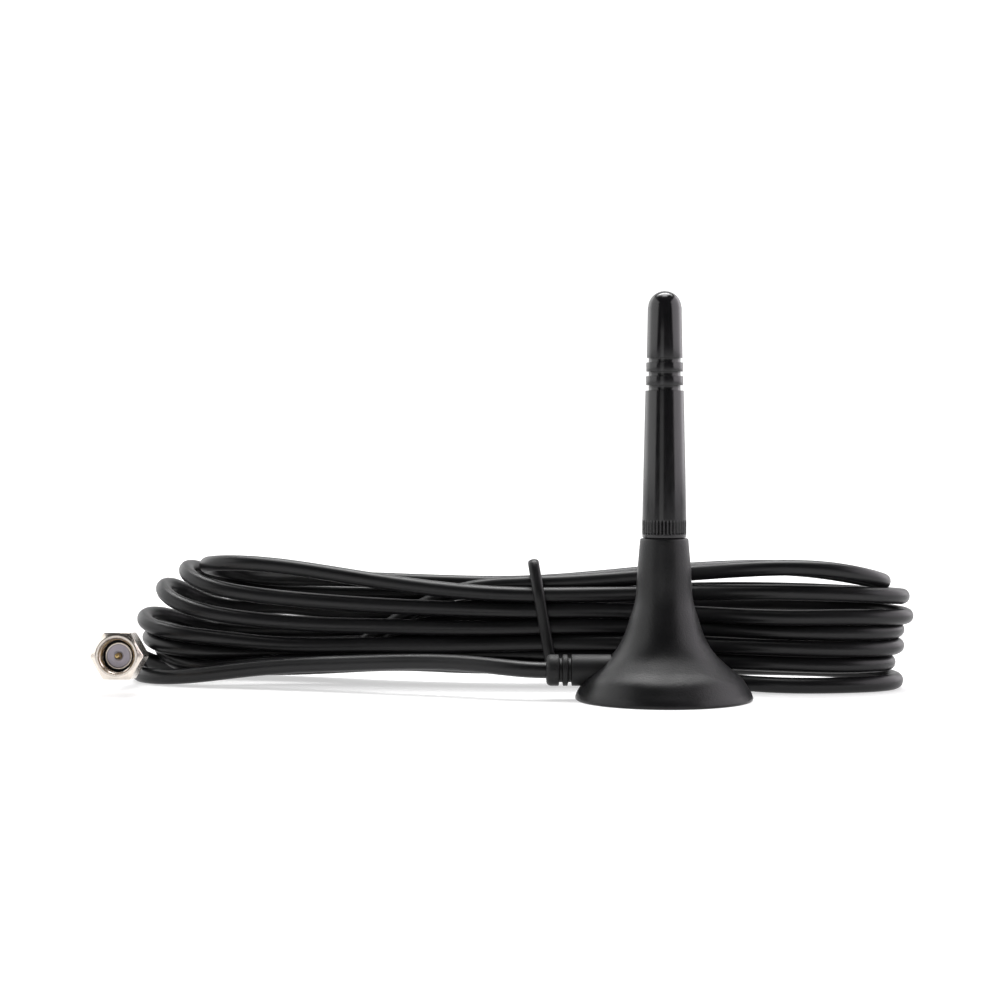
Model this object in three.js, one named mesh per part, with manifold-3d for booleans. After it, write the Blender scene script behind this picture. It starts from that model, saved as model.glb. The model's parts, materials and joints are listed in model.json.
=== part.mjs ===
// Magnetic-mount whip antenna with a coaxial lead that ends in a threaded plug.
// Millimetres, +Z up. The origin is at the centre of the underside of the base.
// The lead leaves the base towards -X, and the coiled lead lies behind the base, towards +Y.
import * as THREE from 'three';
import * as BufferGeometryUtils from 'three/addons/utils/BufferGeometryUtils.js';
import Module from 'manifold-3d';

const wasm = await Module();
wasm.setup();

// ---------- driving dimensions ----------
const FIT = 0.05; // between fixed pieces that sit in each other

// base
const BASE_R = 15;
const BASE_H = 27.3;
const NECK_R = 4.05;
const PAD = { r: 13.7, top: 0.3 };
const MAGNET = { r: 11, bore: 3, bottom: 0.35, top: 1.5 };
const PLATE = { r: 11.4, bottom: 1.55, top: 2.1 };
const SOCKET = { r: 2.9, bottom: 18.2, top: 26.4, boreBottom: 20.8, boreR: 2.06, pinR: 0.8, pinBottom: 14 };
const BUSH = { r: 3.3, boreR: 0.9, bottom: 15.6, top: 18.1 };

// whip
const SEAL = { r: 3.45, bore: 2.1, height: 0.35 };
const WHIP_BOTTOM = 27.7;
const WHIP_TOP = 68.9;
const WHIP_R = 3.72; // at the grip band
const DOME_R = 2.8;
const GRIP = { bottom: 28.1, top: 30.2, ribs: 38, depth: 0.16 };
const STUD_R = 1.96;
const STUD_BOTTOM = 22.4;
const COIL = { meanR: 1.5, wireR: 0.24, bottom: 34.4, top: 61.5, turns: 13 };

// cable, strain relief and plug
const CABLE_R = 1.4;
const EXIT_Z = 5;
const RELIEF = { r: 2.65, bore: 1.45, inner: -8.9, outer: -19.9 };
const PLUG = { x: -93.2, y: 4, z: 6.95, pitch: 4 }; // mating end of the plug; pitch in degrees
const NUT = { flats: 8, length: 7.4, boreR: 3, boreDepth: 4.6, chamferR: 3.6, rearR: 2.38 };
const BARREL_R = 2.3; // of the plug body, inside the nut
const SNAP = { top: -5.92, bottom: -6.33, inner: 1.98, outer: 2.62, gapDeg: 30 };
const MATING_Z = -2.6; // mating plane, below the nut's front edge

// ---------- materials ----------
function finish(color, roughness, metalness) {
  return new THREE.MeshStandardMaterial({ color, roughness, metalness });
}
const satinBlack = () => finish(0x1b1b1c, 0.55, 0);
const glossBlack = () => finish(0x101011, 0.22, 0);
const rubberBlack = () => finish(0x181818, 0.75, 0);
const cableBlack = () => finish(0x1c1c1e, 0.45, 0);
const nickel = () => finish(0xc9c2b8, 0.22, 1);
const gold = () => finish(0xb08d45, 0.3, 1);
const brass = () => finish(0xb99a52, 0.35, 1);
const steel = () => finish(0x8d8f92, 0.4, 1);
const magnetGrey = () => finish(0x3a3b3d, 0.6, 0.4);
const copper = () => finish(0xb5714a, 0.35, 1);
const ptfe = () => finish(0xe6e1ea, 0.5, 0);

// ---------- geometry helpers ----------
const antenna = new THREE.Group();

function addPart(parent, name, geometry, material) {
  const mesh = new THREE.Mesh(geometry, material);
  mesh.name = name;
  parent.add(mesh);
  return mesh;
}

function welded(geometry) {
  const plain = geometry.index ? geometry.toNonIndexed() : geometry.clone();
  plain.deleteAttribute('normal');
  plain.deleteAttribute('uv');
  return BufferGeometryUtils.mergeVertices(plain, 1e-4);
}

// The volume that a closed mesh holds, negative when its faces point inwards.
function signedVolume(geometry) {
  const p = geometry.attributes.position;
  const index = geometry.index.array;
  const [a, b, c] = [new THREE.Vector3(), new THREE.Vector3(), new THREE.Vector3()];
  let volume = 0;
  for (let i = 0; i < index.length; i += 3) {
    a.fromBufferAttribute(p, index[i]);
    b.fromBufferAttribute(p, index[i + 1]);
    c.fromBufferAttribute(p, index[i + 2]);
    volume += a.dot(b.cross(c)) / 6;
  }
  return volume;
}

// Merges shared vertices, drops triangles with no area and makes the faces point outwards.
function closed(geometry) {
  const mesh = welded(geometry);
  const kept = [];
  for (let i = 0; i < mesh.index.count; i += 3) {
    const [a, b, c] = [mesh.index.array[i], mesh.index.array[i + 1], mesh.index.array[i + 2]];
    if (a !== b && b !== c && c !== a) kept.push(a, b, c);
  }
  mesh.setIndex(kept);
  if (signedVolume(mesh) < 0) mesh.setIndex(kept.reverse());
  mesh.computeVertexNormals();
  return mesh;
}

function toManifold(geometry) {
  const mesh = closed(geometry);
  return new wasm.Manifold(new wasm.Mesh({
    numProp: 3,
    vertProperties: Float32Array.from(mesh.attributes.position.array),
    triVerts: Uint32Array.from(mesh.index.array),
  }));
}

function fromManifold(solid) {
  const mesh = solid.getMesh();
  const geometry = new THREE.BufferGeometry();
  geometry.setAttribute('position', new THREE.BufferAttribute(mesh.vertProperties, 3));
  geometry.setIndex(new THREE.BufferAttribute(mesh.triVerts, 1));
  geometry.computeVertexNormals();
  return geometry;
}

// Turns an [r, z] outline around the Z axis. It starts and ends on the axis or closes on itself.
function turned(outline, segments) {
  const points = outline.map(([r, z]) => new THREE.Vector2(r, z));
  return closed(new THREE.LatheGeometry(points, segments).rotateX(Math.PI / 2));
}

// A solid disc or, with a bore, a ring.
function disc(r, bottom, top, segments, bore = 0) {
  const outline = [[bore, bottom], [r, bottom], [r, top], [bore, top]];
  if (bore > 0) outline.push([bore, bottom]);
  return turned(outline, segments);
}

// Lays a shape made along Z along X, its low end at the low X.
function alongX(geometry) {
  return geometry.rotateY(Math.PI / 2);
}

function arcPoints(centreR, centreZ, radius, fromDeg, toDeg, steps) {
  return Array.from({ length: steps + 1 }, (_, i) => {
    const angle = THREE.MathUtils.degToRad(fromDeg + ((toDeg - fromDeg) * i) / steps);
    return [centreR + radius * Math.cos(angle), centreZ + radius * Math.sin(angle)];
  });
}

function splinePoints(knots, steps) {
  const curve = new THREE.SplineCurve(knots.map(([x, y]) => new THREE.Vector2(x, y)));
  return curve.getPoints(steps).map((p) => [p.x, p.y]);
}

function polygonShape(radius, sides) {
  const points = Array.from({ length: sides }, (_, i) => {
    const angle = (2 * Math.PI * i) / sides;
    return new THREE.Vector2(radius * Math.cos(angle), radius * Math.sin(angle));
  });
  return new THREE.Shape(points);
}

function tube(curve, radius, sides, steps) {
  const options = { steps, extrudePath: curve, bevelEnabled: false };
  return closed(new THREE.ExtrudeGeometry(polygonShape(radius, sides), options));
}

function smoothCurve(points) {
  return new THREE.CatmullRomCurve3(points.map((p) => new THREE.Vector3(...p)), false, 'centripetal');
}

// ---------- base ----------
// Outside of the base from the neck down to the rim: a slim neck that flares into a foot.
const FLARE = [
  [4.11, 26.9], [4.5, 22.2], [4.86, 17], [5.8, 13.7], [6.98, 10.4], [8.4, 8.04], [10.78, 5.68],
  [13.14, 3.74], [14.2, 2.14],
];

function baseHousing() {
  const outside = [
    [2.4, BASE_H],
    [NECK_R - 0.3, BASE_H],
    [NECK_R, BASE_H - 0.2],
    ...splinePoints(FLARE, 15),
    [BASE_R, 0.8],
    [BASE_R - 0.1, 0.3],
    [BASE_R - 0.4, 0],
  ];
  const inside = [
    [PAD.r + 0.1, 0],
    [PAD.r + 0.1, PAD.top + FIT],
    [PLATE.r + 0.15, PAD.top + FIT],
    [PLATE.r + 0.15, PLATE.top + FIT],
    [9, PLATE.top + FIT],
    [8.6, 5],
    [6.7, 8],
    [5.4, 10.4],
    [4.4, 13.7],
    [BUSH.r + FIT, 15.5],
    [BUSH.r + FIT, BUSH.top + FIT],
    [SOCKET.r + FIT, BUSH.top + FIT],
    [SOCKET.r + FIT, SOCKET.top + FIT],
    [2.4, SOCKET.top + FIT],
    [2.4, BASE_H],
  ];
  const shell = toManifold(turned([...outside, ...inside], 48));
  const hole = disc(RELIEF.r + FIT, -18, -6, 24); // runs from outside into the hollow
  const bore = toManifold(alongX(hole).translate(0, 0, EXIT_Z));
  return fromManifold(shell.subtract(bore));
}

function threadedSocket() {
  return turned([
    [0, SOCKET.pinBottom],
    [SOCKET.pinR, SOCKET.pinBottom],
    [SOCKET.pinR, SOCKET.bottom],
    [SOCKET.r, SOCKET.bottom],
    [SOCKET.r, SOCKET.top],
    [SOCKET.boreR, SOCKET.top],
    [SOCKET.boreR, SOCKET.boreBottom],
    [0, SOCKET.boreBottom],
  ], 28);
}

// A sleeve moulded around the cable, with a round end and two grooves that let it bend.
function strainRelief() {
  const { r, bore, inner, outer } = RELIEF;
  const groove = r - 0.55;
  return alongX(turned([
    [bore, outer],
    [1.9, outer],
    [r - 0.25, outer + 0.25],
    [r, outer + 0.8],
    [r, outer + 2.1],
    [groove, outer + 2.2],
    [groove, outer + 2.8],
    [r, outer + 2.9],
    [r, outer + 3.6],
    [groove, outer + 3.7],
    [groove, outer + 4.3],
    [r, outer + 4.4],
    [r, inner],
    [bore, inner],
    [bore, outer],
  ], 24)).translate(0, 0, EXIT_Z);
}

const base = new THREE.Group();
antenna.add(base);
addPart(base, 'base_housing', baseHousing(), satinBlack());
addPart(base, 'bottom_pad', disc(PAD.r, 0, PAD.top, 48), rubberBlack());
addPart(base, 'magnet', disc(MAGNET.r, MAGNET.bottom, MAGNET.top, 40, MAGNET.bore), magnetGrey());
addPart(base, 'steel_plate', disc(PLATE.r, PLATE.bottom, PLATE.top, 40), steel());
addPart(base, 'threaded_socket', threadedSocket(), brass());
addPart(base, 'insulating_bush', disc(BUSH.r, BUSH.bottom, BUSH.top, 24, BUSH.boreR), ptfe());
addPart(base, 'strain_relief', strainRelief(), rubberBlack());

// The stripped end of the cable inside the base.
const jacketEnd = { from: -14.9, to: -6.6 };
const jacket = disc(CABLE_R, jacketEnd.from, jacketEnd.to, 16, 0.82);
addPart(base, 'cable_jacket_end', alongX(jacket).translate(0, 0, EXIT_Z), cableBlack());
const braidRing = disc(1.75, jacketEnd.to + 0.1, jacketEnd.to + 2.6, 18, 0.82);
addPart(base, 'braid_ring', alongX(braidRing).translate(0, 0, EXIT_Z), copper());
const coreRoute = smoothCurve([
  [jacketEnd.from, 0, EXIT_Z], [-10, 0, EXIT_Z], [-5, 0, EXIT_Z], [-2.2, 0, 5.6], [-0.5, 0, 7.6],
  [0, 0, 10], [0, 0, 12.6],
]);
addPart(base, 'coax_core', tube(coreRoute, 0.72, 8, 20), ptfe());
addPart(base, 'centre_wire', disc(0.3, 12.65, SOCKET.pinBottom - FIT, 10), copper());

// ---------- whip ----------
// The washer lifts with the whip as it is unscrewed, but doesn't turn with it.
const sealBody = new THREE.Group();
antenna.add(sealBody);
const sealRing = disc(SEAL.r, BASE_H + 0.02, BASE_H + 0.02 + SEAL.height, 32, SEAL.bore);
addPart(sealBody, 'seal_washer', sealRing, rubberBlack());

const whip = new THREE.Group();
antenna.add(whip);

// Two raised rings stand between three grooves.
const RINGS = [
  { bottom: 55.4, top: 56.8, r: 3.11 },
  { bottom: 53.1, top: 54.5, r: 3.14 },
];
const GROOVE_R = 2.7;
const TOP_SECTION = { bottom: 57.7, r: 3.01 };
const LOWER_SECTION = { top: 52.1, r: 3.24 };

function whipSleeve() {
  const bevel = 0.12;
  const ringOutline = RINGS.flatMap(({ bottom, top, r }) => [
    [GROOVE_R, top],
    [r - bevel, top],
    [r, top - bevel],
    [r, bottom + bevel],
    [r - bevel, bottom],
    [GROOVE_R, bottom],
  ]);
  const ribFloor = WHIP_R - GRIP.depth;
  const outside = [
    [0, WHIP_TOP],
    ...arcPoints(0, WHIP_TOP - DOME_R, DOME_R, 80, 0, 8),
    [TOP_SECTION.r, TOP_SECTION.bottom + bevel],
    [TOP_SECTION.r - bevel, TOP_SECTION.bottom],
    [GROOVE_R, TOP_SECTION.bottom],
    ...ringOutline,
    [GROOVE_R, LOWER_SECTION.top],
    [LOWER_SECTION.r - bevel, LOWER_SECTION.top],
    [LOWER_SECTION.r, LOWER_SECTION.top - bevel],
    [WHIP_R, GRIP.top + 0.1],
    [ribFloor, GRIP.top],
    [ribFloor, GRIP.bottom],
    [WHIP_R - 0.02, GRIP.bottom - 0.1],
    [WHIP_R - 0.2, WHIP_BOTTOM],
  ];
  const inside = [[2.5, WHIP_BOTTOM], [2.5, 33.1], [1.95, 33.1], [1.95, 63.5], [0, 64.5]];
  const sleeve = toManifold(turned([...outside, ...inside], 38));
  return fromManifold(sleeve.add(toManifold(gripRibs())));
}

// A ring with one small rib for each tooth of the grip band.
function gripRibs() {
  const crest = [];
  for (let i = 0; i < GRIP.ribs; i += 1) {
    const pitch = (2 * Math.PI) / GRIP.ribs;
    const offsets = [[-0.32, WHIP_R - 0.24], [-0.18, WHIP_R], [0.18, WHIP_R], [0.32, WHIP_R - 0.24]];
    for (const [share, r] of offsets) {
      const angle = (i + share) * pitch;
      crest.push(new THREE.Vector2(r * Math.cos(angle), r * Math.sin(angle)));
    }
  }
  const ring = new THREE.Shape(crest);
  ring.holes.push(new THREE.Path(polygonShape(3.1, GRIP.ribs).getPoints()));
  const depth = GRIP.top - GRIP.bottom;
  return new THREE.ExtrudeGeometry(ring, { depth, bevelEnabled: false }).translate(0, 0, GRIP.bottom);
}

// Brass foot of the whip: a stud that screws into the base, a plug and a spigot for the coil.
function whipFerrule() {
  return turned([
    [0, STUD_BOTTOM],
    [STUD_R - 0.5, STUD_BOTTOM],
    [STUD_R, STUD_BOTTOM + 0.5],
    [STUD_R, WHIP_BOTTOM + 0.1],
    [2.45, WHIP_BOTTOM + 0.1],
    [2.45, 33],
    [1.15, 33],
    [1.15, 34],
    [0, 34],
  ], 28);
}

class Helix extends THREE.Curve {
  constructor(radius, bottom, top, turns) {
    super();
    Object.assign(this, { radius, bottom, top, turns });
  }

  getPoint(t, target = new THREE.Vector3()) {
    const angle = 2 * Math.PI * this.turns * t;
    const z = this.bottom + (this.top - this.bottom) * t;
    return target.set(this.radius * Math.cos(angle), this.radius * Math.sin(angle), z);
  }
}

addPart(whip, 'whip_sleeve', whipSleeve(), glossBlack());
addPart(whip, 'whip_ferrule', whipFerrule(), brass());
addPart(whip, 'coil_former', disc(1.1, 34.1, 62.5, 14), ptfe());
const helix = new Helix(COIL.meanR, COIL.bottom, COIL.top, COIL.turns);
addPart(whip, 'antenna_coil', tube(helix, COIL.wireR, 5, COIL.turns * 10), copper());

// ---------- plug ----------
// Each piece is made with its axis along Z and the mating end at the top, at z = 0.
const plug = new THREE.Group();
plug.position.set(PLUG.x, PLUG.y, PLUG.z);
plug.rotation.x = Math.PI / 2 - THREE.MathUtils.degToRad(PLUG.pitch);
antenna.add(plug);

function hexagon(acrossFlats) {
  const radius = acrossFlats / Math.sqrt(3);
  return polygonShape(radius, 6);
}

// Hexagon nut with turned chamfers, a bore for the mating thread and a groove for the snap ring.
function couplingNut() {
  const { flats, length, boreR, boreDepth, chamferR, rearR } = NUT;
  const corner = flats / Math.sqrt(3) + 0.05;
  const grooveR = SNAP.outer + 0.1;
  const hex = new THREE.ExtrudeGeometry(hexagon(flats), { depth: length, bevelEnabled: false });
  const prism = toManifold(hex.translate(0, 0, -length));
  const envelope = toManifold(turned([
    [boreR + 0.1, 0],
    [chamferR, 0],
    [corner, -0.75],
    [corner, -length + 0.75],
    [chamferR, -length],
    [rearR, -length],
    [rearR, SNAP.bottom - 0.15],
    [grooveR, SNAP.bottom - 0.15],
    [grooveR, SNAP.top + 0.15],
    [rearR, SNAP.top + 0.15],
    [rearR, -boreDepth],
    [boreR, -boreDepth],
    [boreR, -0.1],
    [boreR + 0.1, 0],
  ], 36));
  return fromManifold(prism.intersect(envelope));
}

// Barrel with the mating rim in front, a groove for the snap ring and a stem for the crimp.
function plugBody() {
  const back = -NUT.length;
  const inner = 2.02;
  return turned([
    [inner, MATING_Z],
    [BARREL_R, MATING_Z],
    [BARREL_R, SNAP.top + 0.05],
    [SNAP.inner - 0.05, SNAP.top + 0.05],
    [SNAP.inner - 0.05, SNAP.bottom - 0.05],
    [BARREL_R, SNAP.bottom - 0.05],
    [BARREL_R, back - 0.2],
    [2.9, back - 0.2],
    [2.9, back - 2.2],
    [1.5, back - 2.2],
    [1.5, back - 8],
    [0.9, back - 8],
    [0.9, back - 1.2],
    [inner - 0.3, back - 1.2],
    [inner - 0.3, SNAP.top + 0.4],
    [inner, SNAP.top + 0.4],
    [inner, MATING_Z],
  ], 28);
}

// An open ring that sits half in the barrel's groove and half in the nut's.
function snapRing() {
  const { top, bottom, inner, outer, gapDeg } = SNAP;
  const half = THREE.MathUtils.degToRad(gapDeg / 2);
  const ring = new THREE.Shape();
  ring.absarc(0, 0, outer, half, 2 * Math.PI - half, false);
  ring.absarc(0, 0, inner, 2 * Math.PI - half, half, true);
  const options = { depth: top - bottom, bevelEnabled: false, curveSegments: 22 };
  return closed(new THREE.ExtrudeGeometry(ring, options).translate(0, 0, bottom));
}

addPart(plug, 'coupling_nut', couplingNut(), nickel());
addPart(plug, 'plug_body', plugBody(), nickel());
addPart(plug, 'snap_ring', snapRing(), steel());
addPart(plug, 'plug_gasket', disc(2.9, -4.55, -3.85, 24, BARREL_R + FIT), rubberBlack());
const insulator = turned([
  [0.6, MATING_Z],
  [1.97, MATING_Z],
  [1.97, SNAP.top + 0.45],
  [1.67, SNAP.top + 0.45],
  [1.67, -NUT.length - 1.1],
  [0.6, -NUT.length - 1.1],
  [0.6, MATING_Z],
], 24);
addPart(plug, 'plug_insulator', insulator, ptfe());
addPart(plug, 'centre_pin', turned([
  [0, -NUT.length - 1.1],
  [0.55, -NUT.length - 1.1],
  [0.55, MATING_Z - 0.3],
  [0.46, MATING_Z - 0.1],
  [0.46, -1],
  [0.2, -0.55],
  [0, -0.5],
], 14), gold());
addPart(plug, 'crimp_ferrule', disc(2.1, -NUT.length - 8.4, -NUT.length - 2.3, 24, 1.56), nickel());
addPart(plug, 'heat_shrink', turned([
  [2.16, -NUT.length - 5],
  [2.4, -NUT.length - 5],
  [2.4, -NUT.length - 8.6],
  [1.75, -NUT.length - 10.4],
  [1.75, -NUT.length - 13],
  [1.46, -NUT.length - 13],
  [1.46, -NUT.length - 8.5],
  [2.16, -NUT.length - 8.5],
  [2.16, -NUT.length - 5],
], 20), rubberBlack());

// ---------- coiled lead ----------
// The lead lies over to the left, turns on the surface and enters the coil from the left.
const LEAD_ROUTE = [
  [-20.2, 0, 5], [-23.5, 0.4, 5.1], [-27, 1.6, 5.4], [-31, 3.4, 5.6], [-36, 5.8, 5.7], [-42, 8.1, 5.6],
  [-48, 10.3, 5.3], [-54, 12.5, 4.9], [-60, 14.4, 4.5], [-66, 16.1, 4.1], [-72, 17.7, 3.4],
  [-78, 19.1, 2.6], [-83, 20.5, 1.9], [-87.5, 22.4, 1.5], [-91.4, 25.4, 1.4], [-93.6, 29.6, 1.4],
  [-93.4, 34, 1.4], [-90.8, 37.8, 1.4], [-86.6, 40, 1.4], [-81, 40.4, 1.4], [-75, 39.6, 1.4],
  [-69, 38.3, 1.5], [-64, 37, 1.8],
];
// The tail comes out under the coil and bends round into the back of the plug.
const TAIL_ROUTE = [
  [-64, 29.9, 3], [-70, 31.2, 2.9], [-76, 32.4, 2.9], [-81, 33, 2.9], [-85.2, 32.8, 2.9],
  [-88.6, 31.6, 3.1], [-91.2, 29.4, 3.9], [-92.7, 26.9, 4.8], [-93.2, 24.7, 5.45],
];
addPart(antenna, 'cable_lead', tube(smoothCurve(LEAD_ROUTE), CABLE_R, 8, 62), cableBlack());
addPart(antenna, 'cable_tail', tube(smoothCurve(TAIL_ROUTE), CABLE_R, 8, 18), cableBlack());

// Outer shape of the coil: a waist where the tie holds it, and wide round ends.
const HANK_PLAN = [
  [46, 18], [44, 12.5], [38, 9.2], [30, 8.8], [20, 10], [8, 14.6], [-8, 17], [-30, 18.2], [-48, 19.7],
  [-70, 21.6], [-82, 22], [-90, 25], [-93.5, 31], [-91.5, 37], [-84, 41.2], [-74, 41.2],
  [-50, 33], [-36, 29.4], [-10, 28.8], [0, 29.2], [20, 29.2], [34, 28.8], [43, 25.4],
];
// The coil's underside lies on the surface at the right, hangs in the tie and clears the lead at the left.
const HANK_FRONT = [
  [45.5, 18.5], [40, 21.6], [26, 22.9], [10, 21.4], [-20, 20.3], [-46, 20.8], [-68, 22.7], [-80, 22.8],
  [-87.5, 20.6], [-93, 13], [-93.4, 8], [-90, 5.2], [-63.7, 5.2], [-63.7, 0.8], [-45, 2.4], [-12, 2.4],
  [6, 0.1], [38, 0.1], [44, 1.2], [46, 7],
];

function hank() {
  const depth = 60; // more than the coil measures either way, so each outline trims the other
  const outline = (points) => new THREE.Shape(points.map(([x, y]) => new THREE.Vector2(x, y)));
  const plan = new THREE.ExtrudeGeometry(outline(HANK_PLAN), { depth, bevelEnabled: false });
  const front = new THREE.ExtrudeGeometry(outline(HANK_FRONT), { depth, bevelEnabled: false });
  front.rotateX(Math.PI / 2).translate(0, depth, 0);
  return fromManifold(toManifold(plan).intersect(toManifold(front)));
}
addPart(antenna, 'cable_hank', hank(), cableBlack());

// Flat plastic tie around the waist of the coil.
const TIE = {
  x: -22.5, front: 16.6, back: 30.4, bottom: 1, top: 22.4,
  width: 1.8, thickness: 0.7, corner: 1.8, lean: 7,
};

function roundedRectangle(shape, halfWidth, halfHeight, radius) {
  const [x, y] = [halfWidth - radius, halfHeight - radius];
  shape.moveTo(-x, -halfHeight);
  shape.lineTo(x, -halfHeight);
  shape.absarc(x, -y, radius, -Math.PI / 2, 0, false);
  shape.lineTo(halfWidth, y);
  shape.absarc(x, y, radius, 0, Math.PI / 2, false);
  shape.lineTo(-x, halfHeight);
  shape.absarc(-x, y, radius, Math.PI / 2, Math.PI, false);
  shape.lineTo(-halfWidth, -y);
  shape.absarc(-x, -y, radius, Math.PI, 1.5 * Math.PI, false);
  return shape;
}

// The band is drawn around its own middle, looking along X, and then leans over.
function tie() {
  const { width, thickness, front, back, bottom, top, corner } = TIE;
  const halfY = (back - front) / 2;
  const halfZ = (top - bottom) / 2;
  const band = roundedRectangle(new THREE.Shape(), halfY, halfZ, corner);
  const hole = roundedRectangle(new THREE.Path(), halfY - thickness, halfZ - thickness, corner - thickness);
  band.holes.push(hole);
  const options = { depth: width, bevelEnabled: false, curveSegments: 5 };
  const geometry = new THREE.ExtrudeGeometry(band, options).translate(0, 0, -width / 2);
  return closed(geometry.rotateX(Math.PI / 2).rotateZ(Math.PI / 2));
}
const tieMesh = addPart(antenna, 'twist_tie', tie(), rubberBlack());
tieMesh.position.set(TIE.x, (TIE.front + TIE.back) / 2, (TIE.bottom + TIE.top) / 2);
tieMesh.rotation.y = -THREE.MathUtils.degToRad(TIE.lean);

export default antenna;
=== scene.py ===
"""Looks of a magnetic mount whip antenna with a coiled coaxial lead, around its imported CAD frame."""
import json
import math

import bmesh
import bpy
import numpy as np
from mathutils import Matrix, Vector


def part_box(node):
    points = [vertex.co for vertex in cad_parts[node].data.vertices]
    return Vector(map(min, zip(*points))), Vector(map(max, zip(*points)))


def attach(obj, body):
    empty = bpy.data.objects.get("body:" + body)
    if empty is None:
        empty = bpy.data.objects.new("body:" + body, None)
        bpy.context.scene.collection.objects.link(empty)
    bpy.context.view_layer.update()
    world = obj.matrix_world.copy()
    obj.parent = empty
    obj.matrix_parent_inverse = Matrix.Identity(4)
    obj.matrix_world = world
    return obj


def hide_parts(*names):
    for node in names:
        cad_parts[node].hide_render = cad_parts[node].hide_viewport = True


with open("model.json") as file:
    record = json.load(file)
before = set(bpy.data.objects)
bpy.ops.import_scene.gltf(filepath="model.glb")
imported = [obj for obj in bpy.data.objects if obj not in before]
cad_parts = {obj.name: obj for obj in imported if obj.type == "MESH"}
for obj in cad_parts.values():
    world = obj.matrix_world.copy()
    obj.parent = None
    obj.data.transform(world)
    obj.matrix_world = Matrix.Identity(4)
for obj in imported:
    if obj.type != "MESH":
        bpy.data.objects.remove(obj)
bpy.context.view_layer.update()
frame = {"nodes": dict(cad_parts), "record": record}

MM = 0.001
RECORD = frame["record"]
JOINTS = {joint["name"]: joint for joint in RECORD["behaviour"]["joints"]}


# ---------- camera ----------
def make_camera():
    """A long lens in front of the object, a little above the whip's middle and tipped slightly down."""
    data = bpy.data.cameras.new("camera")
    data.lens = 82.26
    data.sensor_width = 36
    data.clip_start, data.clip_end = 0.01, 20
    camera = bpy.data.objects.new("camera", data)
    camera.location = (-27.7 * MM, -385 * MM, 44.5 * MM)
    camera.rotation_euler = (math.radians(90 - 1.6), 0, 0)
    bpy.context.collection.objects.link(camera)
    bpy.context.scene.camera = camera


make_camera()


# ---------- route of the lead ----------
CABLE_D = 2.8 * MM
EXIT = (-0.0199, 0, 0.005)  # where the lead leaves its strain relief
INSIDE_RELIEF = [(-0.0165, 0, 0.005)]
LEAD_ROUTE = [
    (-0.0202, 0, 0.005), (-0.0235, 0.0004, 0.0051), (-0.027, 0.0016, 0.0054), (-0.031, 0.0034, 0.0056),
    (-0.036, 0.0058, 0.0057), (-0.042, 0.0081, 0.0056), (-0.048, 0.0103, 0.0053), (-0.054, 0.0125, 0.0049),
    (-0.06, 0.0144, 0.0045), (-0.066, 0.0161, 0.0041), (-0.072, 0.0177, 0.0034), (-0.078, 0.0191, 0.0026),
    (-0.083, 0.0205, 0.0019), (-0.0875, 0.0224, 0.0015), (-0.0914, 0.0254, 0.0014),
    (-0.0936, 0.0296, 0.0014), (-0.0934, 0.034, 0.0014), (-0.0908, 0.0378, 0.0014),
    (-0.0866, 0.04, 0.0014), (-0.081, 0.0404, 0.0014), (-0.075, 0.0396, 0.0014),
    (-0.069, 0.0383, 0.0015), (-0.064, 0.037, 0.0018),
]
TAIL_ROUTE = [
    (-0.064, 0.0299, 0.003), (-0.07, 0.0312, 0.0029), (-0.076, 0.0324, 0.0029), (-0.081, 0.033, 0.0029),
    (-0.0852, 0.0328, 0.0029), (-0.0886, 0.0316, 0.0031), (-0.0912, 0.0294, 0.0039),
    (-0.0927, 0.0269, 0.0048), (-0.0932, 0.0247, 0.00545),
]
INSIDE_SHRINK = [(-0.0932, 0.0224, 0.00566), (-0.0932, 0.02, 0.00583)]

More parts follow.
